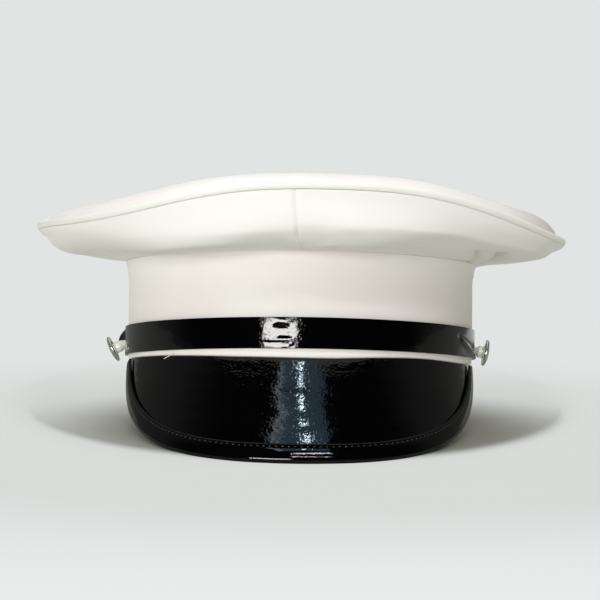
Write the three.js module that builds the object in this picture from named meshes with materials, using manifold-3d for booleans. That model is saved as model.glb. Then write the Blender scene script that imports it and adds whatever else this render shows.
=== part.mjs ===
// White peaked cap with a patent chin strap and peak, set down on its peak and the back of its band.
// Millimetres and degrees, +Z up, front towards -Y. Each piece is worked out in the cap's own frame,
// with the lower edge of the band in z = 0, and the whole cap is then leaned back on to the floor.

import * as THREE from 'three';
import { mergeVertices } from 'three/addons/utils/BufferGeometryUtils.js';
import Module from 'manifold-3d';

const wasm = await Module();
wasm.setup();

// Driving dimensions
const lean = 11.4;        // how far the resting cap leans back
const gap = 0.3;          // clearance between neighbouring pieces
const pressed = 0.8;      // how much a soft edge flattens where it meets the floor
const around = 64;        // facets in a full turn
const band = { halfWidth: 84.3, halfLength: 104, wall: 2.4, height: 49.1, backRise: 2.5, sideDip: 0.4 };
const rim = { halfWidth: 128.6, halfLength: 142, height: 58.6 };
const rimFront = { rise: 11.2, angle: 5.6, spread: 36.5, power: 2.9 };
const cloth = { wall: 1.4, seamLean: -1.3, backSlack: 0.8 };
const top = { dome: 2, puff: 10.8, puffPower: 10, frontRun: 1.3 };
const welt = { radius: 1.85, sides: 8 };
const strap = { halfHeight: 6.9, wall: 1.3, centre: 10.43, frontRise: 0.5, tipTurn: 5, holeRadius: 3.3 };
const peak = { endAngle: 76, drop: 43, power: 2.6, slope: 0.535, sideSlope: 0.34, wall: 2 };
const binding = { leg: 6.5, wall: 0.9, nose: 2.4 };
const button = { angle: 90, neck: 3, facets: 20 };

// Outside of the band from its lower edge up: share of the height, and how far it stands out.
const bandRows = [
  { share: 0, out: -0.6 },
  { share: 0.02, out: 0 },
  { share: 0.8, out: 0.2 },
  { share: 0.93, out: 0.6 },
  { share: 1, out: 1.6 },
];
const bandFace = bandRows[2].out;
const bandFlare = bandRows.at(-1).out;

// How the band's lower edge rises over the peak at each side of the front.
const footRises = [
  { angle: -53, spread: 39, rise: 1.5 },
  { angle: 37, spread: 20, rise: 1.36 },
];

// How the rim rises or dips away from the front, and how much more the top puffs up inside it.
const rimTips = [
  { angle: -90, spread: 28.6, rise: 4.4 },
  { angle: 66, spread: 15, rise: -1.7 },
];
const topPuffs = [
  { angle: -34, spread: 22, rise: 3 },
  { angle: 40, spread: 22, rise: 1.5 },
  { angle: 70, spread: 20, rise: 6.2 },
];

// Soft folds of the crown's sides: where they lie round the cap and up the panel, and how far they stand out.
const folds = [
  { angle: -34, spread: 21, level: 0.3, run: 0.3, depth: 2.4 },
  { angle: -8, spread: 6, level: 0.35, run: 0.3, depth: -1.4 },
  { angle: 13, spread: 8, level: 0.3, run: 0.3, depth: 1.1 },
  { angle: 36, spread: 15, level: 0.4, run: 0.3, depth: -2 },
  { angle: 66, spread: 8, level: 0.25, run: 0.3, depth: 1 },
  { angle: -72, spread: 12, level: 0.35, run: 0.3, depth: -1.2 },
  { angle: 150, spread: 16, level: 0.35, run: 0.3, depth: -1.2 },
  { angle: -148, spread: 18, level: 0.35, run: 0.3, depth: -1.2 },
  { angle: -100, spread: 24, level: 0.16, run: 0.16, depth: -4.2 },
  { angle: -88, spread: 24, level: 0.5, run: 0.2, depth: 1.5 },
  { angle: -84, spread: 20, level: 0.85, run: 0.16, depth: -2.3 },
  { angle: 102, spread: 24, level: 0.2, run: 0.18, depth: -1.5 },
  { angle: 94, spread: 24, level: 0.58, run: 0.2, depth: 0.5 },
  { angle: 88, spread: 20, level: 0.85, run: 0.16, depth: -4.3 },
];

// Side button from its foot to the top of its dome: radius at each distance along the shank.
const buttonRows = [
  { radius: 0, along: 0 },
  { radius: 1.3, along: 0.2 },
  { radius: 1.6, along: 0.8 },
  { radius: 1.8, along: 2.4 },
  { radius: 2.9, along: 3.4 },
  { radius: 2.7, along: 5 },
  { radius: 3.1, along: 6 },
  { radius: 5.9, along: 6.4 },
  { radius: 6.5, along: 7 },
  { radius: 6.4, along: 7.7 },
  { radius: 5.4, along: 8.1 },
  { radius: 3, along: 8.5 },
  { radius: 0, along: 8.7 },
];

// The two sides differ: the button's stand-off, droop and height, and the lift of the strap's tip.
const sides = [
  { name: 'left', sign: -1, standOff: 1.4, droop: 26, lift: 0, tipLift: 3.2 },
  { name: 'right', sign: 1, standOff: 0, droop: 11, lift: -2, tipLift: 1.2 },
];

const material = {
  cloth: new THREE.MeshStandardMaterial({ color: 0xefece6, roughness: 0.9 }),
  patent: new THREE.MeshStandardMaterial({ color: 0x060607, roughness: 0.12 }),
  silver: new THREE.MeshStandardMaterial({ color: 0xd9dad6, roughness: 0.22, metalness: 1 }),
};

const radians = THREE.MathUtils.degToRad;
const wave = (angle, times) => Math.cos(radians(times * angle));

function steps(count, from, to) {
  return Array.from({ length: count + 1 }, (_, k) => from + (to - from) * k / count);
}

// Angles run round the cap from the front (0) by the right side (90) to the back (180).
const turnSteps = steps(around, 0, 360).slice(0, -1);
const peakAngles = steps(44, -86, 86).map((turn) => peak.endAngle * Math.sin(radians(turn)));

function onOval(halfWidth, halfLength, angle, height) {
  const turn = radians(angle);
  return new THREE.Vector3(halfWidth * Math.sin(turn), -halfLength * Math.cos(turn), height);
}

function ovalNormal({ halfWidth, halfLength }, angle) {
  const turn = radians(angle);
  return new THREE.Vector3(Math.sin(turn) / halfWidth, -Math.cos(turn) / halfLength, 0).normalize();
}

const wrapped = (angle) => THREE.MathUtils.euclideanModulo(angle + 180, 360) - 180;

// Sum of the soft bumps in a table, each round its own angle.
function bumps(rows, angle) {
  return rows.reduce((sum, row) => {
    const away = wrapped(angle - row.angle) / row.spread;
    return sum + row.rise * Math.exp(-(away ** 2));
  }, 0);
}

function bandPoint(out, angle, height) {
  return onOval(band.halfWidth + out, band.halfLength + out, angle, height);
}

function bandTop(angle) {
  return band.height - band.backRise * wave(angle, 1) + band.sideDip * wave(angle, 2);
}

function bandFoot(angle) {
  return bumps(footRises, angle);
}

function strapCentre(angle) {
  return strap.centre + strap.frontRise * wave(angle, 2);
}

// Seam under the rim: high across the front and low at the front corners, with its own rise at each side.
function rimSeam(angle) {
  const away = Math.abs(wrapped(angle) - rimFront.angle) / rimFront.spread;
  return rim.height + rimFront.rise * Math.exp(-(away ** rimFront.power)) + bumps(rimTips, angle);
}

// Floor seen from the cap's frame: its upward normal, and how high a point stands over it.
const leanTurn = radians(lean);
const floorUp = new THREE.Vector3(0, -Math.sin(leanTurn), Math.cos(leanTurn));
const floorLevel = bandPoint(bandRows[0].out, 180, 0).dot(floorUp) + pressed;
const overFloor = (point) => point.dot(floorUp) - floorLevel;

// Outward unit normal of a surface by angle and level, where the level rises up or out.
function surfaceNormal(surface, angle, level) {
  const step = 1e-3;
  const along = surface(angle + step, level).sub(surface(angle - step, level));
  const up = surface(angle, Math.min(level + step, 1)).sub(surface(angle, Math.max(level - step, 0)));
  return along.cross(up).normalize();
}

// One section of a wall: up its outside and back down its inside.
function wallSection(surface, angle, levels, thickness) {
  const outside = levels.map((level) => surface(angle, level));
  const inside = levels.map((level, k) =>
    outside[k].clone().addScaledVector(surfaceNormal(surface, angle, level), -thickness));
  return [...outside, ...inside.reverse()];
}

// Triangles of a flat section, used to close the ends of an open loft.
function capTriangles(loop) {
  const normal = new THREE.Vector3();
  loop.forEach((point, k) => {
    normal.add(point.clone().cross(loop[(k + 1) % loop.length]));
  });
  normal.normalize();
  const right = loop[1].clone().sub(loop[0]).projectOnPlane(normal).normalize();
  const up = normal.clone().cross(right);
  const outline = loop.map((point) => new THREE.Vector2(point.dot(right), point.dot(up)));
  return THREE.ShapeUtils.triangulateShape(outline, []);
}

function signedVolume(points, triangles) {
  return triangles.reduce((sum, [a, b, c]) => sum + points[a].dot(points[b].clone().cross(points[c])) / 6, 0);
}

// Merges shared corners, drops triangles that have closed up, and turns the faces outwards.
function solidFrom(points, triangles) {
  const loose = new THREE.BufferGeometry().setFromPoints(points);
  const isOutwards = signedVolume(points, triangles) > 0;
  loose.setIndex(triangles.flatMap(([a, b, c]) => (isOutwards ? [a, b, c] : [a, c, b])));
  const merged = mergeVertices(loose, 1e-4);
  const index = merged.getIndex().array;
  const kept = [];
  for (let k = 0; k < index.length; k += 3) {
    const [a, b, c] = index.slice(k, k + 3);
    if (a !== b && b !== c && c !== a) kept.push(a, b, c);
  }
  merged.setIndex(kept);
  merged.computeVertexNormals();
  return merged;
}

// A closed solid through a row of sections, either right round the cap or between two flat ends.
function loft(sections, isRing) {
  const size = sections[0].length;
  const triangles = [];
  const spans = isRing ? sections.length : sections.length - 1;
  for (let k = 0; k < spans; k += 1) {
    const here = k * size;
    const next = ((k + 1) % sections.length) * size;
    for (let j = 0; j < size; j += 1) {
      const beside = (j + 1) % size;
      triangles.push([here + j, next + j, next + beside], [here + j, next + beside, here + beside]);
    }
  }
  if (!isRing) {
    const last = (sections.length - 1) * size;
    triangles.push(...capTriangles(sections[0]));
    triangles.push(...capTriangles(sections.at(-1)).map(([a, b, c]) => [last + a, last + c, last + b]));
  }
  return solidFrom(sections.flat(), triangles);
}

// Flattens a soft edge where it meets the floor.
function settle(geometry) {
  const place = geometry.getAttribute('position');
  const point = new THREE.Vector3();
  for (let k = 0; k < place.count; k += 1) {
    point.fromBufferAttribute(place, k);
    point.addScaledVector(floorUp, Math.max(0, -overFloor(point)));
    place.setXYZ(k, point.x, point.y, point.z);
  }
  geometry.computeVertexNormals();
  return geometry;
}

function toManifold(geometry) {
  const bare = geometry.clone();
  bare.deleteAttribute('normal');
  bare.deleteAttribute('uv');
  const merged = mergeVertices(bare, 1e-4);
  return new wasm.Manifold(new wasm.Mesh({
    numProp: 3,
    vertProperties: new Float32Array(merged.getAttribute('position').array),
    triVerts: new Uint32Array(merged.getIndex().array),
  }));
}

function fromManifold(solid) {
  const mesh = solid.getMesh();
  const geometry = new THREE.BufferGeometry();
  geometry.setAttribute('position', new THREE.BufferAttribute(mesh.vertProperties, 3));
  geometry.setIndex(new THREE.BufferAttribute(mesh.triVerts, 1));
  geometry.computeVertexNormals();
  return geometry;
}

// Stiff white band, turned in at its lower edge and flared where the crown is sewn on.
function bandGeometry() {
  const sections = turnSteps.map((angle) => {
    const height = (share) => THREE.MathUtils.lerp(bandFoot(angle), bandTop(angle), share);
    const row = ({ share, out }, inset) => bandPoint(out - inset, angle, height(share));
    const outside = bandRows.map((each) => row(each, 0));
    const inside = bandRows.filter((each, k) => k !== 1).map((each) => row(each, band.wall));
    return [...outside, ...inside.reverse()];
  });
  return settle(loft(sections, true));
}

// How far the crown's side stands out at a place on the panel.
function foldDepth(angle, level) {
  const hold = Math.sqrt(Math.max(0, 4 * level * (1 - level)));
  return folds.reduce((sum, fold) => {
    const near = (wrapped(angle - fold.angle) / fold.spread) ** 2 + ((level - fold.level) / fold.run) ** 2;
    return sum + fold.depth * hold * Math.exp(-near);
  }, 0);
}

// Outside of the crown's side: out over the top of the band, then up to the seam under the rim.
function crownSide(angle, level) {
  const foot = bandPoint(bandFlare - band.wall, angle, bandTop(angle) + gap);
  const head = onOval(rim.halfWidth, rim.halfLength, angle, rimSeam(angle));
  const bend = level * Math.PI / 2;
  const reach = Math.sin(bend);
  const slack = cloth.backSlack * THREE.MathUtils.smoothstep(Math.abs(angle), 60, 125);
  const rise = THREE.MathUtils.lerp(1 - Math.cos(bend), reach, slack);
  const point = new THREE.Vector3(
    THREE.MathUtils.lerp(foot.x, head.x, reach),
    THREE.MathUtils.lerp(foot.y, head.y, reach),
    THREE.MathUtils.lerp(foot.z, head.z, rise),
  );
  const outwards = ovalNormal(rim, angle).multiplyScalar(rise);
  outwards.z = -reach * Math.cos(bend) - (1 - reach);
  return point.addScaledVector(outwards.normalize(), foldDepth(angle, level));
}

// Half of the crown's side, from the front seam, which leans a little, round to the back seam.
function quarterGeometry(sign) {
  const levels = steps(7, 0, 1);
  const panel = (angle, level) => {
    const seamShift = cloth.seamLean * level * (1 - Math.abs(angle) / 180);
    return crownSide(angle + seamShift, level);
  };
  const sections = steps(around / 2, 0, 180).map((angle) => {
    const wall = wallSection(panel, sign * angle, levels, cloth.wall);
    const seam = panel(sign * angle, 1).z;
    return wall.map((point) => point.setZ(Math.min(point.z, seam)));
  });
  return loft(sections, false);
}

// Corded welt that rings the crown between its side and its top.
function weltGeometry() {
  const sections = turnSteps.map((angle) => {
    const outwards = ovalNormal(rim, angle);
    const centre = onOval(rim.halfWidth, rim.halfLength, angle, rimSeam(angle) + gap + welt.radius);
    centre.addScaledVector(outwards, -cloth.wall / 2);
    return steps(welt.sides, 0, 360).slice(0, -1).map((turn) => {
      const point = centre.clone().addScaledVector(outwards, welt.radius * Math.cos(radians(turn)));
      point.z += welt.radius * Math.sin(radians(turn));
      return point;
    });
  });
  return loft(sections, true);
}

// Outside of the crown's top: a puffed edge inside the welt, then a low dome to the middle.
function crownTop(angle, level) {
  const bend = level * Math.PI / 2;
  const share = Math.cos(bend) ** (2 / top.puffPower);
  const inset = cloth.wall / 2 + welt.radius + gap;
  const base = rim.height + (rimSeam(angle) - rim.height) * share ** top.frontRun;
  const puff = top.puff + bumps(topPuffs, angle) * share ** top.frontRun;
  const height = base + gap + welt.radius / 2 + puff * Math.sin(bend) + top.dome * (1 - share ** 2);
  return onOval(share * (rim.halfWidth - inset), share * (rim.halfLength - inset), angle, height);
}

function topGeometry() {
  const levels = [0, 0.16, 0.34, 0.54, 0.74, 0.9, 0.985];
  const crest = crownTop(0, 1);
  const under = crest.clone().setZ(crest.z - cloth.wall);
  const sections = turnSteps.map((angle) => {
    const wall = wallSection(crownTop, angle, levels, cloth.wall);
    wall.splice(levels.length, 0, crest, under);
    return wall;
  });
  return loft(sections, true);
}

// Patent strap across the front, with a rounded tip beyond each side button and a hole for its shank.
function strapGeometry() {
  const tail = (side) => [0.25, 0.5, 0.7, 0.85, 0.95, 1].map((past) => {
    const angle = side.sign * (button.angle + past * strap.tipTurn);
    return { angle, past, lift: side.tipLift * past ** 2 };
  });
  const front = steps(40, -button.angle, button.angle).map((angle) => ({ angle, past: 0, lift: 0 }));
  const stations = [...tail(sides[0]).reverse(), ...front, ...tail(sides[1])];
  const sections = stations.map(({ angle, past, lift }) => {
    const half = strap.halfHeight * Math.sqrt(1 - 0.93 * past ** 4);
    const outwards = ovalNormal(band, angle);
    const corner = (up, out) => bandPoint(0, angle, strapCentre(angle) + up)
      .addScaledVector(outwards, bandFace + gap + lift + out);
    return [
      corner(-half, 0),
      corner(half, 0),
      corner(half, strap.wall * 0.6),
      corner(half * 0.88, strap.wall),
      corner(-half * 0.88, strap.wall),
      corner(-half, strap.wall * 0.6),
    ];
  });
  const drill = new THREE.CylinderGeometry(strap.holeRadius, strap.holeRadius, 4 * strap.halfHeight, 16);
  drill.rotateZ(Math.PI / 2);
  const holes = sides.map(({ sign, lift }) =>
    toManifold(drill.clone().translate(sign * band.halfWidth, 0, strapCentre(button.angle) + lift)));
  return fromManifold(holes.reduce((solid, hole) => solid.subtract(hole), toManifold(loft(sections, false))));
}

// Sheet that the outside of the peak lies on, by angle and by depth under the band.
function peakSheet(angle, depth) {
  const across = Math.sin(radians(angle)) ** 2;
  const point = bandPoint(0, angle, bandFoot(angle) - gap - depth);
  point.y -= depth * (peak.slope + peak.sideSlope * across);
  return point;
}

function peakDrop(angle) {
  const share = Math.min(1, Math.abs(angle) / peak.endAngle);
  return bandFoot(angle) + peak.drop * Math.sqrt(1 - share ** peak.power);
}

// Outside of the peak: level 0 is its free edge and level 1 its sewn edge under the band.
function peakSurface(angle, level) {
  return peakSheet(angle, peakDrop(angle) * (1 - level));
}

function peakGeometry() {
  const levels = steps(3, 0, 1);
  return loft(peakAngles.map((angle) => wallSection(peakSurface, angle, levels, peak.wall)), false);
}

// Directions of the peak's sheet at one place: round the cap, down the sheet, and out of it.
function peakFrame(angle, depth) {
  const step = 0.01;
  const round = peakSheet(angle + step, depth).sub(peakSheet(angle - step, depth)).divideScalar(2 * step);
  const down = peakSheet(angle, depth + step).sub(peakSheet(angle, depth - step)).divideScalar(2 * step);
  return { round, down, out: down.clone().cross(round).normalize() };
}

// Section of the binding at one angle, laid along the peak's sheet in from its free edge.
function bindingSection(angle, profile) {
  const depth = peakDrop(angle);
  const { round, down, out } = peakFrame(angle, depth);
  const edge = peakSurface(angle + 0.02, 0).sub(peakSurface(angle - 0.02, 0));
  const inwards = out.clone().cross(edge).normalize();
  const area = round.dot(round) * down.dot(down) - round.dot(down) ** 2;
  const turn = (inwards.dot(round) * down.dot(down) - inwards.dot(down) * round.dot(down)) / area;
  const sink = (inwards.dot(down) * round.dot(round) - inwards.dot(round) * round.dot(down)) / area;
  return profile.map(({ across, along }) => {
    const place = [angle + turn * along, depth + sink * along];
    const point = peakSheet(...place).addScaledVector(peakFrame(...place).out, across - peak.wall / 2);
    return point.setZ(Math.min(point.z, bandFoot(place[0]) - 2 * gap));
  });
}

// Folded patent strip round the free edge of the peak, open towards the peak like a channel.
function bindingGeometry() {
  const slot = peak.wall / 2 + gap;
  const outer = slot + binding.wall;
  const profile = [
    { across: slot, along: -gap },
    { across: -slot, along: -gap },
    { across: -slot, along: binding.leg },
    { across: -outer, along: binding.leg },
    { across: -outer, along: 0 },
    { across: -0.6 * outer, along: -0.75 * binding.nose },
    { across: 0, along: -binding.nose },
    { across: 0.6 * outer, along: -0.75 * binding.nose },
    { across: outer, along: 0 },
    { across: outer, along: binding.leg },
    { across: slot, along: binding.leg },
  ];
  return settle(loft(peakAngles.map((angle) => bindingSection(angle, profile)), false));
}

// Domed button on a flared shank.
function buttonGeometry(standOff) {
  const profile = buttonRows.map(({ radius, along }) =>
    new THREE.Vector2(radius, along > button.neck ? along + standOff : along));
  const lathe = new THREE.LatheGeometry(profile, button.facets);
  const place = lathe.getAttribute('position');
  const points = [];
  for (let k = 0; k < place.count; k += 1) points.push(new THREE.Vector3().fromBufferAttribute(place, k));
  const index = lathe.getIndex().array;
  const triangles = Array.from({ length: index.length / 3 }, (_, k) => [...index.slice(3 * k, 3 * k + 3)]);
  return solidFrom(points, triangles);
}

function named(name, geometry, finish) {
  const mesh = new THREE.Mesh(geometry, finish);
  mesh.name = name;
  return mesh;
}

function quarterMesh({ name, sign }) {
  const mesh = named(`quarter_${name}`, quarterGeometry(sign), material.cloth);
  mesh.position.x = sign * gap / 2;
  return mesh;
}

// The shank passes through the strap's hole and stops at the band, and the button droops about its foot.
function hungButton({ name, sign, standOff, droop, lift }) {
  const mesh = named(`button_${name}`, buttonGeometry(standOff), material.silver);
  mesh.rotation.z = -sign * Math.PI / 2;
  const hanger = new THREE.Group();
  hanger.position.set(sign * (band.halfWidth + bandFace + gap), 0, strapCentre(button.angle) + lift);
  hanger.rotation.y = sign * radians(droop);
  hanger.add(mesh);
  return hanger;
}

const cap = new THREE.Group();
cap.add(
  named('crown_top', topGeometry(), material.cloth),
  named('rim_welt', weltGeometry(), material.cloth),
  ...sides.map(quarterMesh),
  named('band', bandGeometry(), material.cloth),
  named('chin_strap', strapGeometry(), material.patent),
  named('peak', peakGeometry(), material.patent),
  named('peak_binding', bindingGeometry(), material.patent),
  ...sides.map(hungButton),
);

// The cap leans back on to z = 0, with the middle of its box over the origin.
cap.rotation.x = -leanTurn;
cap.position.z = -floorLevel;
const model = new THREE.Group();
model.add(cap);
model.updateMatrixWorld(true);
const box = new THREE.Box3().setFromObject(model, true);
cap.position.y = -(box.min.y + box.max.y) / 2;
model.updateMatrixWorld(true);

export default model;
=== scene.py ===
import math
import bpy
from mathutils import Matrix, Vector, noise


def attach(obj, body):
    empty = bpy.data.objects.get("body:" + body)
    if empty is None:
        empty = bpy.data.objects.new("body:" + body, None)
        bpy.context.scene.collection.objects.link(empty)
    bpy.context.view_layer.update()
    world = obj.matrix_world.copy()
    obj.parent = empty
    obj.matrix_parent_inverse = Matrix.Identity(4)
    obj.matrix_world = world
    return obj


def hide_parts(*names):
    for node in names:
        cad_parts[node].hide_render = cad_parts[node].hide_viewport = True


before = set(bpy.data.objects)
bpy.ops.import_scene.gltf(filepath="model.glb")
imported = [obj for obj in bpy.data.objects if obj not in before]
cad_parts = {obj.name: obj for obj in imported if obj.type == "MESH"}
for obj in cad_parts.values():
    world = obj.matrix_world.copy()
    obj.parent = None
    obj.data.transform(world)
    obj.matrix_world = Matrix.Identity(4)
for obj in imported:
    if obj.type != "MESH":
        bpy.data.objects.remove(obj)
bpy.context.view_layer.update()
print("frame loaded:", len(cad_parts), "nodes")

# Sizes are millimetres in the cap's own frame: z = 0 is the band's lower edge and the front is -y.
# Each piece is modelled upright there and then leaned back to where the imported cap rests.
cap = {"lean": 11.4, "back": -8.868, "up": 19.638, "gap": 0.3, "seam": 0.05}
leanTurn = math.radians(cap["lean"])


def inFrame(point):
    x, y, z = point
    along = y * math.cos(leanTurn) + z * math.sin(leanTurn) + cap["back"]
    up = z * math.cos(leanTurn) - y * math.sin(leanTurn) + cap["up"]
    return Vector((x, along, max(up, 0))) / 1000  # soft edges flatten where they meet the floor


# Camera, lights and floor

view = {"place": (-0.0003, -0.9089, 0.1768), "pitch": 7.92, "roll": 0.716, "lens": 110.76, "sensor": 36}


def makeCamera():
    bpy.ops.object.camera_add(location=view["place"])
    camera = bpy.context.object
    camera.name = "photoView"
    pitch = Matrix.Rotation(math.radians(90 - view["pitch"]), 3, "X")
    roll = Matrix.Rotation(math.radians(view["roll"]), 3, "Z")
    camera.rotation_euler = (pitch @ roll).to_euler()
    camera.data.lens = view["lens"]
    camera.data.sensor_width = view["sensor"]
    camera.data.clip_start = 0.05
    bpy.context.scene.camera = camera


# place and aim in metres, size across and up, glow is the brightness of the lamp's face
lamps = {
    "topBox": {"place": (0.03, -0.05, 1.05), "aim": (0, 0, 0.06), "size": (0.16, 0.16), "glow": 43,
               "tint": (1, 0.98, 0.97), "shows": False},
    "frontBox": {"place": (-0.32, -1.22, 0.36), "aim": (0, -0.1, 0.06), "size": (0.48, 0.24), "glow": 19.5,
                 "tint": (1, 0.98, 0.97), "shows": True},
    "leftFill": {"place": (-1, -0.6, 0.14), "aim": (0, 0, 0.06), "size": (0.6, 0.26), "glow": 3.2,
                 "tint": (1, 1, 0.97), "shows": False},
    "rightHigh": {"place": (0.45, -0.55, 0.85), "aim": (0, 0, 0.06), "size": (0.35, 0.35), "glow": 5,
                  "tint": (1, 1, 0.97), "shows": False},
    "buttonFill": {"place": (0.1, -0.8, 0.16), "aim": (0, 0, 0.05), "size": (1.4, 0.4), "glow": 2.6,
                   "tint": (1, 1, 0.97), "shows": True},
    "skyPanel": {"place": (0.035, -0.58, 1.05), "aim": (0, -0.12, 0.02), "size": (0.47, 0.3), "glow": 0.9,
                 "tint": (0.44, 0.7, 1), "shows": True},
    "skyEdge": {"place": (-0.2, -0.54, 1.04), "aim": (0, -0.12, 0.02), "size": (0.05, 0.36), "glow": 2.4,
                "tint": (0.8, 0.9, 1), "shows": True, "turn": 40},
    "skyStrip": {"place": (0.045, -0.52, 1.03), "aim": (0, -0.12, 0.02), "size": (0.045, 0.03), "glow": 62,
                 "tint": (0.72, 0.9, 1), "shows": True},
    "beadStrip": {"place": (0.13, -0.84, 0.86), "aim": (0, -0.14, 0.01), "size": (0.35, 0.06), "glow": 16,
                  "tint": (0.95, 0.98, 1), "shows": True},
}


def makeLamps():
    for name, lamp in lamps.items():
        bpy.ops.object.light_add(type="AREA", location=lamp["place"])
        light = bpy.context.object
        light.name = name
        across, up = lamp["size"]
        light.data.shape = "RECTANGLE"
        light.data.size = across
        light.data.size_y = up
        light.data.energy = lamp["glow"] * math.pi * across * up
        light.data.color = lamp["tint"]
        aim = Vector(lamp["aim"]) - Vector(lamp["place"])
        turn = Matrix.Rotation(math.radians(lamp.get("turn", 0)), 3, "Z")
        light.rotation_euler = (aim.to_track_quat("-Z", "Y").to_matrix() @ turn).to_euler()
        light.visible_glossy = lamp["shows"]
        light.visible_camera = False


# with INCLUDE only these pieces take the lamp's light, with EXCLUDE all the others do
def linkLamp(name, state, *pieces):
    linked = bpy.data.collections.new(name + "Pieces")
    for piece in pieces:
        linked.objects.link(piece)
    for member in linked.collection_objects:
        member.light_linking.link_state = state
    bpy.data.objects[name].light_linking.receiver_collection = linked


# Shader maths: a Wire is a node's output that can be used in plain sums

class Wire:
    def __init__(self, finish, socket):
        self.finish = finish
        self.socket = socket

    def maths(self, operation, first, second=0.0):
        return self.finish.node("ShaderNodeMath", {"operation": operation}, {0: first, 1: second})

    def __add__(self, other):
        return self.maths("ADD", self, other)

    def __radd__(self, other):
        return self.maths("ADD", other, self)

    def __sub__(self, other):
        return self.maths("SUBTRACT", self, other)

    def __rsub__(self, other):
        return self.maths("SUBTRACT", other, self)

    def __mul__(self, other):
        return self.maths("MULTIPLY", self, other)

    def __rmul__(self, other):
        return self.maths("MULTIPLY", other, self)

    def __truediv__(self, other):
        return self.maths("DIVIDE", self, other)

    def __rtruediv__(self, other):
        return self.maths("DIVIDE", other, self)

    def sine(self):
        return self.maths("SINE", self)

    def larger(self, other):
        return self.maths("MAXIMUM", self, other)


class Finish:
    def __init__(self, owner):
        owner.use_nodes = True
        self.owner = owner
        self.tree = owner.node_tree
        self.tree.nodes.clear()

    def node(self, kind, settings=None, sockets=None, out=0):
        made = self.tree.nodes.new(kind)
        for key, value in (settings or {}).items():
            setattr(made, key, value)
        for key, value in (sockets or {}).items():
            if isinstance(value, Wire):
                self.tree.links.new(value.socket, made.inputs[key])
            else:
                made.inputs[key].default_value = value
        return Wire(self, made.outputs[out])

    def blend(self, share, first, second):  # colours: sockets 6 and 7 of a Mix node are its A and B
        return self.node("ShaderNodeMix", {"data_type": "RGBA"}, {0: share, 6: first, 7: second}, out=2)

    def spread(self, value, low, high, toLow=0.0, toHigh=1.0):
        ends = {0: value, 1: low, 2: high, 3: toLow, 4: toHigh}
        return self.node("ShaderNodeMapRange", {"interpolation_type": "SMOOTHSTEP"}, ends)

    def clouds(self, place, scale, detail=2.0, rough=0.5):
        sockets = {"Vector": place, "Scale": scale, "Detail": detail, "Roughness": rough}
        return self.node("ShaderNodeTexNoise", {"noise_dimensions": "3D"}, sockets)

    def close(self, shader, kind="ShaderNodeOutputMaterial"):
        end = self.tree.nodes.new(kind)
        self.tree.links.new(shader.socket, end.inputs["Surface"])
        return self.owner


makeCamera()
makeLamps()

# The floor shades itself only in two ovals near the cap, a soft one under the crown and a crisp one round it.
# Beyond them the paper glows evenly, but lights the cap less than it shows.
stage = {"radius": 8, "floor": (0.80, 0.81, 0.75), "grey": (0.755, 0.775, 0.768),
         "near": (0.82, 0.845, 0.838), "brightens": (-0.22, -0.36), "fades": (1.6, 0.9),
         "bounce": (0.72, 0.725, 0.66), "mirrored": (0.2, 0.205, 0.19), "corner": (0.75, 0.77, 0.73),
         "cornerSide": (0.36, 0.22), "keepsLight": ("topBox", "leftFill", "buttonFill")}
softShade = {"middle": (0.009, -0.075, 0), "squeeze": (1, 1 / 0.7, 1), "edge": (0.075, 0.165), "share": 0.75,
             "outer": (0.165, 0.32)}
rimShade = {"middle": (-0.001, -0.02, 0), "squeeze": (0.926, 1, 1), "edge": (0.109, 0.123), "share": 0.8}
room = {"front": (0.155, 0.155, 0.143), "back": (0.36, 0.36, 0.34), "mirror": (0.1, 0.1, 0.095)}


def makeWorld():
    world = bpy.data.worlds.new("studio")
    bpy.context.scene.world = world
    sky = Finish(world)
    path = sky.tree.nodes.new("ShaderNodeLightPath")
    isCamera = Wire(sky, path.outputs["Is Camera Ray"])
    isGlossy = Wire(sky, path.outputs["Is Glossy Ray"])
    toward = sky.node("ShaderNodeTexCoord", out="Generated")
    depth = sky.node("ShaderNodeSeparateXYZ", sockets={0: toward}, out="Y")
    soft = sky.blend(sky.spread(depth, -0.6, 0.3), (*room["front"], 1), (*room["back"], 1))
    mirrored = sky.blend(sky.spread(depth, -0.15, 0.35), (0, 0, 0, 1), (*room["mirror"], 1))
    lit = sky.blend(isGlossy, soft, mirrored)  # the room on the camera's side is dark
    shown = sky.blend(isCamera, lit, (*stage["grey"], 1))
    sky.close(sky.node("ShaderNodeBackground", sockets={"Color": shown}), "ShaderNodeOutputWorld")


def fromOval(paper, place, oval):  # distance from the oval's middle, squeezed to its shape
    offset = paper.node("ShaderNodeVectorMath", {"operation": "SUBTRACT"}, {0: place, 1: oval["middle"]})
    squeezed = paper.node("ShaderNodeVectorMath", {"operation": "MULTIPLY"}, {0: offset, 1: oval["squeeze"]})
    return paper.node("ShaderNodeVectorMath", {"operation": "LENGTH"}, {0: squeezed}, out="Value")


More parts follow.
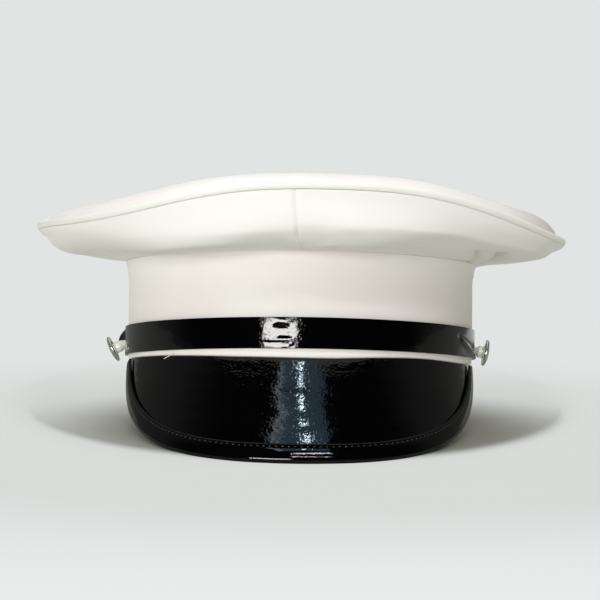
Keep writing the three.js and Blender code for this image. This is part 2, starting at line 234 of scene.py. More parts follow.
def makeFloor():
    bpy.ops.object.select_all(action="DESELECT")
    bpy.ops.mesh.primitive_circle_add(vertices=96, radius=stage["radius"], fill_type="NGON")
    floor = bpy.context.object
    floor.name = "floor"
    paper = Finish(bpy.data.materials.new("floorPaper"))
    place = paper.node("ShaderNodeTexCoord", out="Object")
    mottle = paper.clouds(place, 7.0, 3.0)
    dark = tuple(0.985 * channel for channel in stage["floor"])
    colour = paper.blend(paper.spread(mottle, 0.35, 0.65), (*dark, 1), (*stage["floor"], 1))
    shaded = paper.node("ShaderNodeBsdfPrincipled", sockets={"Base Color": colour, "Roughness": 0.75})
    depth = paper.node("ShaderNodeSeparateXYZ", sockets={0: place}, out="Y")
    distance = paper.node("ShaderNodeVectorMath", {"operation": "LENGTH"}, {0: place}, out="Value")
    towards = paper.spread(depth, *stage["brightens"]) * paper.spread(distance, *stage["fades"])
    glow = paper.blend(towards, (*stage["grey"], 1), (*stage["near"], 1))
    path = paper.tree.nodes.new("ShaderNodeLightPath")
    side = paper.node("ShaderNodeSeparateXYZ", sockets={0: place}, out="X")
    corner = paper.spread(depth, 0.1, 0.2) * paper.spread(side, 0, 0.06)
    corner = corner * paper.spread(side, *stage["cornerSide"])
    mirrored = paper.blend(corner, (*stage["mirrored"], 1), (*stage["corner"], 1))
    unseen = paper.blend(Wire(paper, path.outputs["Is Glossy Ray"]), (*stage["bounce"], 1), mirrored)
    shown = paper.blend(Wire(paper, path.outputs["Is Camera Ray"]), unseen, glow)
    even = paper.node("ShaderNodeEmission", sockets={"Color": shown})
    away = fromOval(paper, place, softShade)
    share = paper.spread(away, *softShade["edge"], 0.0, softShade["share"])
    share = share + paper.spread(away, *softShade["outer"], 0.0, 1 - softShade["share"])
    rimAway = fromOval(paper, place, rimShade)
    share = share.larger(paper.spread(rimAway, *rimShade["edge"], 0.0, rimShade["share"]))
    mix = paper.node("ShaderNodeMixShader", sockets={0: share, 1: shaded, 2: even})
    floor.data.materials.append(paper.close(mix))
    for name in lamps:
        if name not in stage["keepsLight"]:
            linkLamp(name, "EXCLUDE", floor)  # flags keep the other lamps off the floor


makeWorld()
makeFloor()
bpy.context.scene.view_settings.view_transform = "Standard"
print("camera, lamps and floor placed")


# Finishes

clothLook = {"white": (0.84, 0.838, 0.81), "blush": (0.84, 0.795, 0.775), "hem": (0.93, 0.91, 0.885),
             "paintedShade": (0.5, 0.46, 0.42), "paintedShadeRun": 0.05, "patch": 17, "thread": 0.00042, "slub": 900}
patentLook = {"black": (0.001, 0.001, 0.0012), "ripple": 210, "dimple": 800, "grain": 1300,
              "speck": 1100, "rib": 900}
silverLook = {"bright": (0.80, 0.80, 0.775), "dull": (0.42, 0.42, 0.40), "pale": (0.86, 0.87, 0.83),
              "speck": 420}


def makeCloth(name, blushFrom, blushTo, hem=0.0, paintedShadeFrom=0.0):
    cloth = Finish(bpy.data.materials.new(name))
    place = cloth.node("ShaderNodeTexCoord", out="Object")
    lie = cloth.node("ShaderNodeUVMap", {"uv_map": "UVMap"})
    along = cloth.node("ShaderNodeSeparateXYZ", sockets={0: lie}, out="X")
    across = cloth.node("ShaderNodeSeparateXYZ", sockets={0: lie}, out="Y")
    turn = math.tau / clothLook["thread"]
    weave = (along * turn).sine() * (across * turn).sine()
    patch = cloth.spread(cloth.clouds(place, clothLook["patch"], 2.0), blushFrom, blushTo)
    slub = cloth.clouds(place, clothLook["slub"], 2.0)
    colour = cloth.blend(patch, (*clothLook["white"], 1), (*clothLook["blush"], 1))
    # painted light: below the hem line the band is coloured a brighter white so the hem reads as well lit
    if hem:
        colour = cloth.blend(cloth.spread(across, hem, hem + 0.0004), (*clothLook["hem"], 1), colour)
    # painted shade: past this x the cloth darkens to a brownish grey where the top's right tip is in shade
    if paintedShadeFrom:
        side = cloth.node("ShaderNodeSeparateXYZ", sockets={0: place}, out="X")
        paintedShadeShare = cloth.spread(side, paintedShadeFrom, paintedShadeFrom + clothLook["paintedShadeRun"])
        colour = cloth.blend(paintedShadeShare, colour, (*clothLook["paintedShade"], 1))
    height = weave * 0.5 + slub * 0.8
    bump = cloth.node("ShaderNodeBump", sockets={"Strength": 0.25, "Distance": 0.00008, "Height": height})
    shader = cloth.node("ShaderNodeBsdfPrincipled", sockets={
        "Base Color": colour, "Roughness": 0.8 + slub * 0.15, "Normal": bump,
        "Sheen Weight": 0.12, "Sheen Roughness": 0.5, "Specular IOR Level": 0.25})
    return cloth.close(shader)


def makePatent(name, roughness, depths, rawEdge=1.0):  # depths of the surface's waves in millimetres
    patent = Finish(bpy.data.materials.new(name))
    place = patent.node("ShaderNodeTexCoord", out="Object")
    ripple = patent.clouds(place, patentLook["ripple"], 1.0)
    grain = patent.clouds(place, patentLook["grain"], 2.0, 0.6)
    speck = patent.spread(patent.clouds(place, patentLook["speck"], 0.0), 0.5, 0.78)
    lie = patent.node("ShaderNodeUVMap", {"uv_map": "UVMap"})
    across = patent.node("ShaderNodeSeparateXYZ", sockets={0: lie}, out="Y")
    rib = (across * patentLook["rib"] + ripple * 4).sine()
    dimple = patent.clouds(place, patentLook["dimple"], 0.0)
    height = ripple * depths["ripple"] + grain * depths["grain"] + speck * depths["speck"]
    height += rib * depths["rib"] + dimple * depths["dimple"]
    bump = patent.node("ShaderNodeBump", sockets={"Strength": 1.0, "Distance": 0.001, "Height": height})
    dull = patent.spread(across, rawEdge - 0.0004, rawEdge, 0.0, 0.85)  # a cut edge has no gloss
    gloss = roughness + grain * 0.04 + dull
    shader = patent.node("ShaderNodeBsdfPrincipled", sockets={
        "Base Color": (*patentLook["black"], 1), "Roughness": gloss, "Normal": bump, "IOR": 1.5})
    return patent.close(shader)


def makeThread():
    thread = Finish(bpy.data.materials.new("waxedThread"))
    shader = thread.node("ShaderNodeBsdfPrincipled", sockets={
        "Base Color": (0.03, 0.03, 0.03, 1), "Roughness": 0.16})
    return thread.close(shader)


def makeSilver():
    silver = Finish(bpy.data.materials.new("wornSilver"))
    place = silver.node("ShaderNodeTexCoord", out="Object")
    wear = silver.spread(silver.clouds(place, silverLook["speck"], 4.0, 0.6), 0.45, 0.75)
    shank = silver.node("ShaderNodeAttribute", {"attribute_name": "shank"}, out="Fac")
    colour = silver.blend(wear, (*silverLook["bright"], 1), (*silverLook["dull"], 1))
    colour = silver.blend(shank, colour, (*silverLook["pale"], 1))
    shader = silver.node("ShaderNodeBsdfPrincipled", sockets={
        "Base Color": colour, "Metallic": 0.92 - shank * 0.85,
        "Roughness": 0.14 + wear * 0.12 + shank * 0.14})
    return silver.close(shader)


clothFinish = makeCloth("whiteCloth", 0.5, 0.8)
topFinish = makeCloth("topCloth", 0.3, 0.6, 0.0, 0.085)  # painted shade darkens it towards the right tip
bandFinish = makeCloth("bandCloth", 0.3, 0.6, 0.0042)  # its hem is painted a brighter white, as painted light
strapWaves = {"ripple": 0.07, "grain": 0.012, "speck": 0.012, "rib": 0.0, "dimple": 0.0}
peakWaves = {"ripple": 0.045, "grain": 0.016, "speck": 0.014, "rib": 0.018, "dimple": 0.018}
bindingWaves = {"ripple": 0.045, "grain": 0.003, "speck": 0.006, "rib": 0.0, "dimple": 0.0}
strapFinish = makePatent("patentStrap", 0.03, strapWaves)
peakFinish = makePatent("patentPeak", 0.035, peakWaves)
bindingFinish = makePatent("patentBinding", 0.035, bindingWaves, 0.0166)
threadFinish = makeThread()
silverFinish = makeSilver()
print("finishes made")


# Modelling helpers

def deselect():
    bpy.ops.object.select_all(action="DESELECT")


def makeActive(piece):
    deselect()
    piece.select_set(True)
    bpy.context.view_layer.objects.active = piece


def addGrid(name, columns, rows):
    deselect()
    bpy.ops.mesh.primitive_grid_add(x_subdivisions=columns, y_subdivisions=rows, size=2)
    piece = bpy.context.object
    piece.name = name
    return piece


# place(u, v) has both from 0 to 1, and the cut's width and height scale the UV map
def shapeGrid(piece, place, width, height):
    for vertex in piece.data.vertices:
        vertex.co = place((vertex.co.x + 1) / 2, (vertex.co.y + 1) / 2)
    for corner in piece.data.uv_layers["UVMap"].data:
        corner.uv = (corner.uv.x * width / 1000, corner.uv.y * height / 1000)


def closeSeam(piece):
    makeActive(piece)
    bpy.ops.object.mode_set(mode="EDIT")
    bpy.ops.mesh.select_all(action="SELECT")
    bpy.ops.mesh.remove_doubles(threshold=0.001)
    bpy.ops.object.mode_set(mode="OBJECT")


def applyModifiers(piece):
    makeActive(piece)
    for modifier in list(piece.modifiers):
        bpy.ops.object.modifier_apply(modifier=modifier.name)


def addWall(piece, thickness):
    wall = piece.modifiers.new("wall", "SOLIDIFY")
    wall.thickness = thickness
    wall.offset = -1
    wall.use_even_offset = True
    applyModifiers(piece)


def addBevel(piece, width, segments):
    bevel = piece.modifiers.new("roundEdges", "BEVEL")
    bevel.width = width
    bevel.segments = segments
    bevel.limit_method = "ANGLE"
    bevel.angle_limit = math.radians(50)
    applyModifiers(piece)


def finishPiece(piece, finish, slot, *nodes):
    for vertex in piece.data.vertices:
        vertex.co = inFrame(vertex.co)
    makeActive(piece)
    bpy.ops.object.shade_smooth_by_angle(angle=math.radians(45))
    piece.data.materials.clear()
    piece.data.materials.append(finish)
    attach(piece, "root")
    if nodes:
        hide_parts(*nodes)
    print(piece.name, "done:", len(piece.data.polygons), "faces")
    return piece


def smoothStep(value, low, high):
    share = min(1, max(0, (value - low) / (high - low)))
    return share * share * (3 - 2 * share)


def mixed(first, second, share):
    return first + (second - first) * share


# Angles run round the cap from the front (0) by the right side (90) to the back (180).

def onOval(halfWidth, halfLength, angle, height):
    turn = math.radians(angle)
    return Vector((halfWidth * math.sin(turn), -halfLength * math.cos(turn), height))


def ovalNormal(halfWidth, halfLength, angle):
    turn = math.radians(angle)
    return Vector((math.sin(turn) / halfWidth, -math.cos(turn) / halfLength, 0)).normalized()


def wrapped(angle):
    return (angle + 180) % 360 - 180


def bumps(rows, angle):  # sum of soft bumps, each round its own angle
    return sum(row["rise"] * math.exp(-(wrapped(angle - row["angle"]) / row["spread"]) ** 2) for row in rows)


def wave(angle, times):
    return math.cos(math.radians(times * angle))


# Band

band = {"halfWidth": 84.3, "halfLength": 104, "wall": 2.4, "height": 49.1, "backRise": 2.5, "sideDip": 0.4,
        "columns": 240, "rows": 60, "ledge": 0.865, "ledgeDepth": 0.3, "uneven": 0.35, "around": 594}
# share of the height, and how far the band stands out there
bandRows = ((0, -0.6), (0.02, 0), (0.8, 0.2), (0.93, 0.6), (1, 1.6))
footRises = ({"angle": -53, "spread": 39, "rise": 1.5}, {"angle": 37, "spread": 20, "rise": 1.36})


def bandTop(angle):
    return band["height"] - band["backRise"] * wave(angle, 1) + band["sideDip"] * wave(angle, 2)


def bandFoot(angle):
    return bumps(footRises, angle)


def bandPoint(out, angle, height):
    return onOval(band["halfWidth"] + out, band["halfLength"] + out, angle, height)


def bandOut(share):
    for (low, lowOut), (high, highOut) in zip(bandRows, bandRows[1:]):
        if share <= high:
            return mixed(lowOut, highOut, (share - low) / (high - low))
    return bandRows[-1][1]


def bandSurface(angle, share):
    loose = noise.noise(Vector((wave(angle, 1) * 2.6, math.sin(math.radians(angle)) * 2.6, share * 1.6)))
    ledge = band["ledgeDepth"] * smoothStep(share, band["ledge"], band["ledge"] + 0.02)
    hold = math.sin(math.pi * share)
    height = mixed(bandFoot(angle), bandTop(angle), share)
    return bandPoint(bandOut(share) + ledge + band["uneven"] * loose * hold, angle, height)


def makeBand():
    piece = addGrid("band_cloth", band["columns"], band["rows"])
    shapeGrid(piece, lambda u, v: bandSurface(360 * u - 180, v), band["around"], band["height"])
    closeSeam(piece)
    addWall(piece, band["wall"])
    return finishPiece(piece, bandFinish, "white_cloth", "band")


# Crown: two side quarters, the welt round the rim and the top

rim = {"halfWidth": 128.6, "halfLength": 142, "height": 58.6}
rimFront = {"rise": 11.2, "angle": 5.6, "spread": 36.5, "power": 2.9}
rimTips = ({"angle": -90, "spread": 28.6, "rise": 4.4}, {"angle": 66, "spread": 15, "rise": -1.7})
quarter = {"wall": 1.4, "seamLean": -1.3, "backSlack": 0.8, "columns": 260, "rows": 60, "crowd": 1.6,
           "seamDepth": 0.7, "seamWidth": 0.9, "length": 330, "height": 48, "uneven": 0.5, "cut": 52.5}

# soft folds of the crown's side: where round the cap and up the panel, how wide, and how far they stand out
folds = (
    {"angle": -34, "spread": 21, "level": 0.3, "run": 0.3, "depth": 2.4},
    {"angle": -8, "spread": 6, "level": 0.35, "run": 0.3, "depth": -1.4},
    {"angle": 13, "spread": 8, "level": 0.3, "run": 0.3, "depth": 1.1},
    {"angle": 36, "spread": 15, "level": 0.4, "run": 0.3, "depth": -2},
    {"angle": 66, "spread": 8, "level": 0.25, "run": 0.3, "depth": 1},
    {"angle": -72, "spread": 12, "level": 0.35, "run": 0.3, "depth": -1.2},
    {"angle": 150, "spread": 16, "level": 0.35, "run": 0.3, "depth": -1.2},
    {"angle": -148, "spread": 18, "level": 0.35, "run": 0.3, "depth": -1.2},
    {"angle": -100, "spread": 24, "level": 0.16, "run": 0.16, "depth": -4.2},
    {"angle": -88, "spread": 24, "level": 0.5, "run": 0.2, "depth": 1.5},
    {"angle": -84, "spread": 20, "level": 0.85, "run": 0.16, "depth": -2.3},
    {"angle": 102, "spread": 24, "level": 0.2, "run": 0.18, "depth": -1.5},
    {"angle": 94, "spread": 24, "level": 0.58, "run": 0.2, "depth": 0.5},
    {"angle": 88, "spread": 20, "level": 0.85, "run": 0.16, "depth": -4.3},
)


# where the side hangs full: it runs out flat from the band and then turns up
fullness = ({"angle": -20, "spread": 15, "rise": 5}, {"angle": 14, "spread": 16, "rise": 2.4})


def rimSeam(angle):
    away = abs(wrapped(angle) - rimFront["angle"]) / rimFront["spread"]
    return rim["height"] + rimFront["rise"] * math.exp(-(away ** rimFront["power"])) + bumps(rimTips, angle)


def foldDepth(angle, level):
    hold = math.sqrt(max(0, 4 * level * (1 - level)))
    depth = 0
    for fold in folds:
        along = wrapped(angle - fold["angle"]) / fold["spread"]
        up = (level - fold["level"]) / fold["run"]
        depth += fold["depth"] * hold * math.exp(-along ** 2 - up ** 2)
    return depth


# sharper lines on the panel, each through places given by angle and level: how far it stands out and how wide
creases = (
    {"line": ((10, 0.77), (19, 0.78), (32, 0.67), (44, 0.6), (60, 0.65)),
     "depth": 2.6, "width": 7, "soft": 1.2},
    {"line": ((0, 0.76), (10, 0.77)), "depth": 0.7, "width": 7, "soft": 1.2},
    {"line": ((-3, 0.66), (-14, 0.7), (-27, 0.72), (-38, 0.62)), "depth": 0.5, "width": 8, "soft": 3},
    {"line": ((50, 0.27), (68, 0.04)), "depth": -4.5, "width": 1.8, "soft": 0.6},
    {"line": ((57, 0.38), (80, 0.05)), "depth": -5.5, "width": 1.8, "soft": 0.6},
    {"line": ((1, 0.09), (7, 0.32)), "depth": 0.5, "width": 2, "soft": 0.8},
)


def creaseDepth(rows, angle, level, degree, height):  # degree is how far one runs along the piece
    place = Vector((angle * degree, level * height))
    depth = 0
    for crease in rows:
        away = 1000
        for first, last in zip(crease["line"], crease["line"][1:]):
            start = Vector((first[0] * degree, first[1] * height))
            run = Vector((last[0] * degree, last[1] * height)) - start
            share = min(1, max(0, (place - start).dot(run) / run.dot(run)))
            away = min(away, (place - start - run * share).length)
        past = math.hypot(away, crease["soft"]) - crease["soft"]
        depth += crease["depth"] * math.exp(-past / crease["width"])
    return depth


def crownSide(angle, level, extra=0):
    foot = bandPoint(bandRows[-1][1] - band["wall"], angle, bandTop(angle) + cap["seam"])
    head = onOval(rim["halfWidth"], rim["halfLength"], angle, rimSeam(angle))
    bend = level * math.pi / 2
    square = 2 / (2 + bumps(fullness, angle))
    reach = math.sin(bend) ** square
    slack = quarter["backSlack"] * smoothStep(abs(angle), 60, 125)
    rise = mixed(1 - math.cos(bend) ** square, reach, slack)
    point = Vector((mixed(foot.x, head.x, reach), mixed(foot.y, head.y, reach), mixed(foot.z, head.z, rise)))
    outwards = ovalNormal(rim["halfWidth"], rim["halfLength"], angle) * rise
    outwards.z = -reach * math.cos(bend) - (1 - reach)
    return point + outwards.normalized() * (foldDepth(angle, level) + extra)


def quarterSurface(sign, angle, level):
    shifted = angle + quarter["seamLean"] * level * (1 - abs(angle) / 180)
    hold = math.sin(math.pi * level)
    loose = noise.noise(Vector((math.sin(math.radians(angle)) * 4, wave(angle, 1) * 4, level * 2 + 5)))
    fromSeam = min(abs(angle), 180 - abs(angle)) * 2  # about 2 mm to a degree
    groove = mixed(-0.35, 1, smoothStep(level, 0.35, 0.6)) if abs(angle) < 90 else 1
    seam = -quarter["seamDepth"] * groove * math.exp(-(fromSeam / quarter["seamWidth"]) ** 2)
    loose *= quarter["uneven"] * hold
    loose += creaseDepth(creases, angle, level, 1.9, quarter["height"]) * math.sqrt(max(0, hold))
    point = crownSide(shifted, level, loose + seam)
    point.x += sign * cap["seam"] / 2
    return point


def makeQuarter(name, sign):
    piece = addGrid("quarter_" + name + "_cloth", quarter["columns"], quarter["rows"])

    def place(u, v):
        share = u if sign > 0 else 1 - u
        return quarterSurface(sign, sign * 180 * share ** quarter["crowd"], v)

    shapeGrid(piece, place, quarter["length"], quarter["height"])
    addWall(piece, quarter["wall"])
    for vertex in piece.data.vertices:  # nothing of the panel stands above the welt's seam
        angle = math.degrees(math.atan2(vertex.co.x / rim["halfWidth"], -vertex.co.y / rim["halfLength"]))
        vertex.co.z = min(vertex.co.z, rimSeam(angle))
    return finishPiece(piece, clothFinish, "white_cloth", "quarter_" + name)


welt = {"radius": 1.85, "columns": 360, "sides": 16, "uneven": 0.1, "around": 850}


def makeWelt():
    deselect()
    bpy.ops.mesh.primitive_torus_add(major_segments=welt["columns"], minor_segments=welt["sides"],
                                     major_radius=10, minor_radius=1)
    piece = bpy.context.object
    piece.name = "rim_welt_cloth"
    for vertex in piece.data.vertices:
        x, y, z = vertex.co
        angle = math.degrees(math.atan2(x, -y))
        out = math.hypot(x, y) - 10
        outwards = ovalNormal(rim["halfWidth"], rim["halfLength"], angle)
        height = rimSeam(angle) + cap["seam"] + welt["radius"]
        centre = onOval(rim["halfWidth"], rim["halfLength"], angle, height)
        swell = welt["radius"] - welt["uneven"] * (0.5 + 0.5 * noise.noise(vertex.co * 2.2))
        vertex.co = centre + outwards * (out * swell - quarter["wall"] / 2) + Vector((0, 0, z * swell))
    for corner in piece.data.uv_layers["UVMap"].data:
        corner.uv = (corner.uv.x * welt["around"] / 1000, corner.uv.y * math.tau * welt["radius"] / 1000)
    return finishPiece(piece, clothFinish, "white_cloth", "rim_welt")


top = {"dome": 2, "puff": 10.8, "puffPower": 10, "frontRun": 1.3, "wall": 1.4, "columns": 240, "rows": 48,
       "pucker": 0.22, "puckers": 74, "uneven": 0.7, "cut": (262, 287)}
topPuffs = ({"angle": -34, "spread": 22, "rise": 3}, {"angle": 40, "spread": 22, "rise": 1.5},
            {"angle": 70, "spread": 20, "rise": 6.2})


def topSurface(angle, level):
    bend = level * math.pi / 2
    share = max(0, math.cos(bend)) ** (2 / top["puffPower"])
    inset = quarter["wall"] / 2 + welt["radius"] + cap["seam"]
    base = rim["height"] + (rimSeam(angle) - rim["height"]) * share ** top["frontRun"]
    puff = top["puff"] + bumps(topPuffs, angle) * share ** top["frontRun"]
    height = base + cap["gap"] + welt["radius"] / 2 + puff * math.sin(bend) + top["dome"] * (1 - share ** 2)
    point = onOval(share * (rim["halfWidth"] - inset), share * (rim["halfLength"] - inset), angle, height)
    ripple = noise.noise(Vector((angle * top["puckers"] / 360, 0, 3)))
    ripple *= math.exp(-((level - 0.3) / 0.25) ** 2)
    loose = noise.noise(Vector((point.x, point.y, 0)) / 38) * smoothStep(level, 0.5, 0.9)
    point.z += top["pucker"] * ripple * smoothStep(level, 0, 0.2) + top["uneven"] * loose
    return point


def makeTop():
    piece = addGrid("crown_top_cloth", top["columns"], top["rows"])
    shapeGrid(piece, lambda u, v: topSurface(360 * u - 180, v ** 0.8), 1, 1)
    layer = piece.data.uv_layers["UVMap"].data
    for loop in piece.data.loops:  # the weave of a flat cut runs straight across
        place = piece.data.vertices[loop.vertex_index].co
        layer[loop.index].uv = (place.x / 1000, place.y / 1000)
    closeSeam(piece)
    addWall(piece, top["wall"])
    return finishPiece(piece, topFinish, "white_cloth", "crown_top")


makeBand()
makeQuarter("left", -1)
makeQuarter("right", 1)
makeWelt()
makeTop()


# Chin strap

strap = {"halfHeight": 6.9, "wall": 1.3, "centre": 10.43, "frontRise": 0.5, "tipTurn": 5, "holeRadius": 3.3,
         "columns": 420, "rows": 40, "crowd": 0.7, "crown": 0.1, "edge": 0.35, "uneven": 0.12, "length": 310}
buttonAngle = 90
tipLift = {"left": 5, "right": 1.2}
hang = {"left": {"sign": -1, "standOff": 1.4, "droop": 26, "lift": 0},
        "right": {"sign": 1, "standOff": 0, "droop": 11, "lift": -2}}

# small dents where the patent catches the light: place along and across the strap, reach each way, tilt
kinks = (
    {"angle": -5.5, "across": 0.48, "long": 3.6, "tall": 2.6, "tilt": 0.16},
    {"angle": -4.3, "across": -0.28, "long": 3.6, "tall": 1.5, "tilt": -0.16},
    {"angle": -8.3, "across": -0.55, "long": 3.2, "tall": 0.9, "tilt": 0.16},
    {"angle": -2.6, "across": -0.8, "long": 0.8, "tall": 0.8, "tilt": 0.2},
    {"angle": -4.5, "across": -0.95, "long": 1.2, "tall": 0.6, "tilt": 0.2},
)


# folds near the right end, as on the crown
strapCreases = (
    {"line": ((60, 0.3), (76, -0.35)), "depth": -0.5, "width": 0.9, "soft": 0.4},
    {"line": ((62, 0.05), (80, -0.95)), "depth": 0.7, "width": 1, "soft": 0.5},
)


def strapCentre(angle):
    return strap["centre"] + strap["frontRise"] * wave(angle, 2)


def kinkDepth(angle, across):
    depth = 0
    for kink in kinks:
        along = (angle - kink["angle"]) * math.radians(band["halfWidth"])
        up = (across - kink["across"]) * strap["halfHeight"]
        depth += kink["tilt"] * up * math.exp(-(along / kink["long"]) ** 2 - (up / kink["tall"]) ** 2)
    return depth


def strapSurface(angle, across):  # across runs from -1 at the lower edge to 1
    past = max(0, (abs(angle) - buttonAngle) / strap["tipTurn"])
    half = strap["halfHeight"] * math.sqrt(max(0.02, 1 - 0.95 * past ** 2.5))
    lift = tipLift["left" if angle < 0 else "right"] * past ** 2 * smoothStep(across, -0.8, 0.5)
    loose = noise.noise(Vector((angle / 9, across * 0.8, 0)))
    out = bandRows[2][1] + cap["gap"] + lift + strap["wall"] - strap["crown"] * across ** 2
    out += strap["uneven"] * (loose - 0.5) + kinkDepth(angle, across)
    out += creaseDepth(strapCreases, angle, across, 1.6, strap["halfHeight"])
    outwards = ovalNormal(band["halfWidth"], band["halfLength"], angle)
    return bandPoint(0, angle, strapCentre(angle) + half * across) + outwards * out


def makeStrap():
    piece = addGrid("chin_strap_patent", strap["columns"], strap["rows"])
    reach = buttonAngle + strap["tipTurn"]

    def place(u, v):  # stations crowd towards the front and the tips
        turn = 2 * u - 1 - strap["crowd"] * math.sin(math.tau * (2 * u - 1)) / math.tau
        return strapSurface(reach * turn, 2 * v - 1)

    shapeGrid(piece, place, strap["length"], 2 * strap["halfHeight"])
    addWall(piece, strap["wall"] - strap["crown"])
    for side in hang.values():
        deselect()
        middle = (side["sign"] * band["halfWidth"], 0, strapCentre(buttonAngle) + side["lift"])
        bpy.ops.mesh.primitive_cylinder_add(vertices=40, radius=strap["holeRadius"], depth=30,
                                            location=middle, rotation=(0, math.pi / 2, 0))
        cutter = bpy.context.object
        hole = piece.modifiers.new("buttonHole", "BOOLEAN")
        hole.object = cutter
        hole.operation = "DIFFERENCE"
        applyModifiers(piece)
        bpy.data.objects.remove(cutter)
    addBevel(piece, strap["edge"], 3)
    return finishPiece(piece, strapFinish, "black_patent", "chin_strap")


# Peak and its binding

peak = {"endAngle": 76, "drop": 43, "power": 2.6, "slope": 0.535, "sideSlope": 0.34, "wall": 2, "ends": 86,
        "columns": 220, "rows": 40, "uneven": 0.25, "length": 290}


def peakSheet(angle, depth):
    across = math.sin(math.radians(angle)) ** 2
    point = bandPoint(0, angle, bandFoot(angle) - cap["gap"] - depth)
    point.y -= depth * (peak["slope"] + peak["sideSlope"] * across)
    return point


def peakDrop(angle):
    share = min(1, abs(angle) / peak["endAngle"])
    return bandFoot(angle) + peak["drop"] * math.sqrt(1 - share ** peak["power"])


def peakAngle(u):  # stations crowd towards the two ends
    return peak["endAngle"] * math.sin(math.radians(peak["ends"] * (2 * u - 1)))


def peakFrame(angle, depth):
    step = 0.01
    sideways = (peakSheet(angle + step, depth) - peakSheet(angle - step, depth)) / (2 * step)
    down = (peakSheet(angle, depth + step) - peakSheet(angle, depth - step)) / (2 * step)
    return sideways, down, down.cross(sideways).normalized()


def makePeak():
    piece = addGrid("peak_patent", peak["columns"], peak["rows"])

    def place(u, v):
        angle = peakAngle(u)
        depth = peakDrop(angle) * (1 - v)
        loose = noise.noise(Vector((angle / 14, depth / 14, 9)))
        return peakSheet(angle, depth) + peakFrame(angle, depth)[2] * peak["uneven"] * (loose - 0.5)

    shapeGrid(piece, place, peak["length"], peak["drop"])
    addWall(piece, peak["wall"] - peak["uneven"])
    return finishPiece(piece, peakFinish, "black_patent", "peak")


binding = {"leg": 6.5, "wall": 0.9, "nose": 2.4, "columns": 260, "rows": 48, "length": 300, "groove": 0.05,
           "bulge": 0.4, "stitchLine": 4.7, "stitchWide": 0.5, "pitch": 2.7, "stitch": (1.1, 0.6, 0.5)}


def bindingPoint(angle, along, across):  # along runs in from the free edge, across out of the peak's middle
    depth = peakDrop(angle)
    sideways, down, out = peakFrame(angle, depth)
    edge = (peakSheet(angle + 0.02, peakDrop(angle + 0.02)) - peakSheet(angle - 0.02, peakDrop(angle - 0.02)))
    inwards = out.cross(edge).normalized()
    area = sideways.dot(sideways) * down.dot(down) - sideways.dot(down) ** 2
    turn = (inwards.dot(sideways) * down.dot(down) - inwards.dot(down) * sideways.dot(down)) / area
    sink = (inwards.dot(down) * sideways.dot(sideways) - inwards.dot(sideways) * sideways.dot(down)) / area
    there = angle + turn * along, depth + sink * along
    point = peakSheet(*there) + peakFrame(*there)[2] * (across - peak["wall"] / 2)
    point.z = min(point.z, bandFoot(there[0]) - 2 * cap["gap"])
    return point


def bindingSwell(along):  # the outer leg is padded, with a groove for the stitches
    dip = math.exp(-((along - binding["stitchLine"]) / binding["stitchWide"]) ** 2)
    edgeRoll = 0.35 * smoothStep(along, binding["leg"] - 0.5, binding["leg"])
    return binding["bulge"] * math.sin(math.pi * along / binding["leg"]) - binding["groove"] * dip - edgeRoll


def bindingProfile(v):  # from the edge of the inner leg down, round the nose and up the outer leg
    outer = peak["wall"] / 2 + cap["gap"] + binding["wall"]
    legShare = 0.36
    if v < legShare:
        return mixed(binding["leg"], 0, v / legShare), -outer
    if v > 1 - legShare:
        along = mixed(0, binding["leg"], (v - 1 + legShare) / legShare)
        return along, outer + bindingSwell(along)
    turn = math.pi * ((v - legShare) / (1 - 2 * legShare) - 0.5)
    return -binding["nose"] * math.cos(turn), outer * math.sin(turn)


def makeBinding():
    piece = addGrid("peak_binding_patent", binding["columns"], binding["rows"])
    shapeGrid(piece, lambda u, v: bindingPoint(peakAngle(u), *bindingProfile(v)),
              binding["length"], 2 * binding["leg"] + 4)
    addWall(piece, binding["wall"] - 0.1)
    return finishPiece(piece, bindingFinish, "black_patent", "peak_binding")


def makeStitches():
    outer = peak["wall"] / 2 + cap["gap"] + binding["wall"]
    deselect()
    bpy.ops.mesh.primitive_uv_sphere_add(segments=10, ring_count=6, radius=0.5)
    first = bpy.context.object
    bpy.ops.object.mode_set(mode="EDIT")
    bpy.ops.mesh.select_all(action="SELECT")
    bpy.ops.transform.resize(value=binding["stitch"])
    bpy.ops.object.mode_set(mode="OBJECT")
    stations = []
    angle = -peak["endAngle"] + 1.5
    last = None
    while angle < peak["endAngle"] - 1.5:
        point = bindingPoint(angle, binding["stitchLine"], outer)
        if last is None or (point - last).length >= binding["pitch"]:
            stations.append(angle)
            last = point
        angle += 0.02
    copies = []
    for angle in stations:
        here = bindingPoint(angle, binding["stitchLine"], outer + bindingSwell(binding["stitchLine"]))
        along = (bindingPoint(angle + 0.3, binding["stitchLine"], outer) - bindingPoint(
            angle - 0.3, binding["stitchLine"], outer)).normalized()
        out = (bindingPoint(angle, binding["stitchLine"], outer + 1) - bindingPoint(
            angle, binding["stitchLine"], outer)).normalized()
        copy = first.copy()
        copy.data = first.data.copy()
        bpy.context.collection.objects.link(copy)
        turn = Matrix((along, out.cross(along), out)).transposed().to_4x4()
        copy.data.transform(Matrix.Translation(here) @ turn)
        copies.append(copy)
    bpy.data.objects.remove(first)
    deselect()
    for copy in copies:
        copy.select_set(True)
    bpy.context.view_layer.objects.active = copies[0]
    bpy.ops.object.join()
    copies[0].name = "binding_stitches"
    print("stitches:", len(stations))
    return finishPiece(copies[0], threadFinish, "black_patent")


looseEnd = {"from": -42.4, "to": -47.2, "up": 1, "down": 1.7, "radius": 0.2, "columns": 16, "sides": 8}


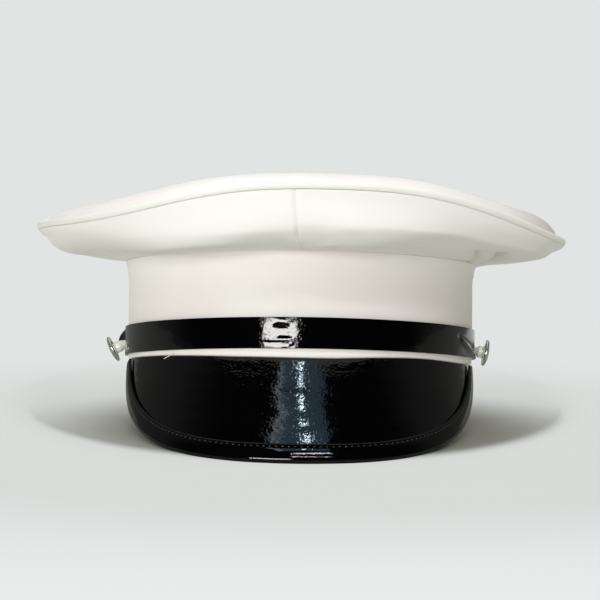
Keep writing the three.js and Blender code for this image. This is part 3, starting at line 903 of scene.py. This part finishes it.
def makeLooseEnd():  # a thread that has worked out of the hem
    start = bandPoint(0.3, looseEnd["from"], bandFoot(looseEnd["from"]) + looseEnd["up"])
    turn = looseEnd["to"]
    end = peakSheet(turn, looseEnd["down"]) + peakFrame(turn, looseEnd["down"])[2] * looseEnd["radius"] * 2
    along = (end - start).normalized()
    out = bandPoint(1, turn, 0) - bandPoint(0, turn, 0)
    up = out.cross(along).normalized()

    def place(u, v):
        thin = looseEnd["radius"] * math.sqrt(1 - abs(2 * u - 1) ** 6)
        centre = start.lerp(end, u) + (out * 0.5 + up * 0.3) * math.sin(math.pi * u)
        return centre + thin * (out * math.cos(math.tau * v) + up * math.sin(math.tau * v))

    piece = addGrid("loose_thread", looseEnd["columns"], looseEnd["sides"])
    shapeGrid(piece, place, 5, 1)
    closeSeam(piece)
    bpy.ops.object.mode_set(mode="EDIT")
    bpy.ops.mesh.normals_make_consistent(inside=False)
    bpy.ops.object.mode_set(mode="OBJECT")
    return finishPiece(piece, clothFinish, "white_cloth")


makeStrap()
makePeak()
makeBinding()
makeStitches()
makeLooseEnd()


# Side buttons

button = {"steps": 48, "neck": 3}
buttonRows = (  # distance along the shank, radius
    (0, 0), (0.15, 1.3), (0.8, 1.6), (2.2, 1.75), (2.8, 2.2), (3.3, 2.8), (3.7, 2.95), (5, 2.7), (5.6, 2.8),
    (5.95, 3.2), (6.1, 4.4), (6.15, 5.4), (6.3, 6.1), (6.6, 6.45), (7, 6.5), (7.35, 6.4), (7.5, 6.15),
    (7.6, 6), (7.75, 5.9), (7.95, 5.5), (8.25, 4.4), (8.5, 3), (8.65, 1.5), (8.7, 0))


def makeButton(name):
    side = hang[name]
    deselect()
    bpy.ops.mesh.primitive_plane_add(size=1)
    piece = bpy.context.object
    piece.name = "button_" + name + "_silver"
    bpy.ops.object.mode_set(mode="EDIT")
    bpy.ops.mesh.select_all(action="SELECT")
    bpy.ops.mesh.merge(type="CENTER")
    before = (0, 0)
    for along, radius in buttonRows[1:]:
        along += side["standOff"] if along > button["neck"] else 0
        step = (along - before[0], 0, radius - before[1])
        bpy.ops.mesh.extrude_region_move(TRANSFORM_OT_translate={"value": step})
        before = (along, radius)
    bpy.ops.mesh.select_all(action="SELECT")
    bpy.ops.mesh.spin(steps=button["steps"], angle=math.tau, center=(0, 0, 0), axis=(1, 0, 0))
    bpy.ops.mesh.select_all(action="SELECT")
    bpy.ops.mesh.remove_doubles(threshold=0.01)
    bpy.ops.mesh.normals_make_consistent(inside=False)
    bpy.ops.object.mode_set(mode="OBJECT")
    shank = piece.data.attributes.new("shank", "FLOAT", "POINT")
    for vertex in piece.data.vertices:
        shank.data[vertex.index].value = 1 - smoothStep(vertex.co.x - side["standOff"], 5.7, 6.1)
    turn = Matrix.Rotation(math.radians(side["droop"]), 4, "Y")
    flip = Matrix.Rotation(math.pi if side["sign"] < 0 else 0, 4, "Z")
    height = strapCentre(buttonAngle) + side["lift"]
    foot = (side["sign"] * (band["halfWidth"] + bandRows[2][1] + cap["gap"]), 0, height)
    piece.data.transform(Matrix.Translation(foot) @ flip @ turn)
    return finishPiece(piece, silverFinish, "silver_metal", "button_" + name)


linkLamp("buttonFill", "INCLUDE", makeButton("left"), makeButton("right"))
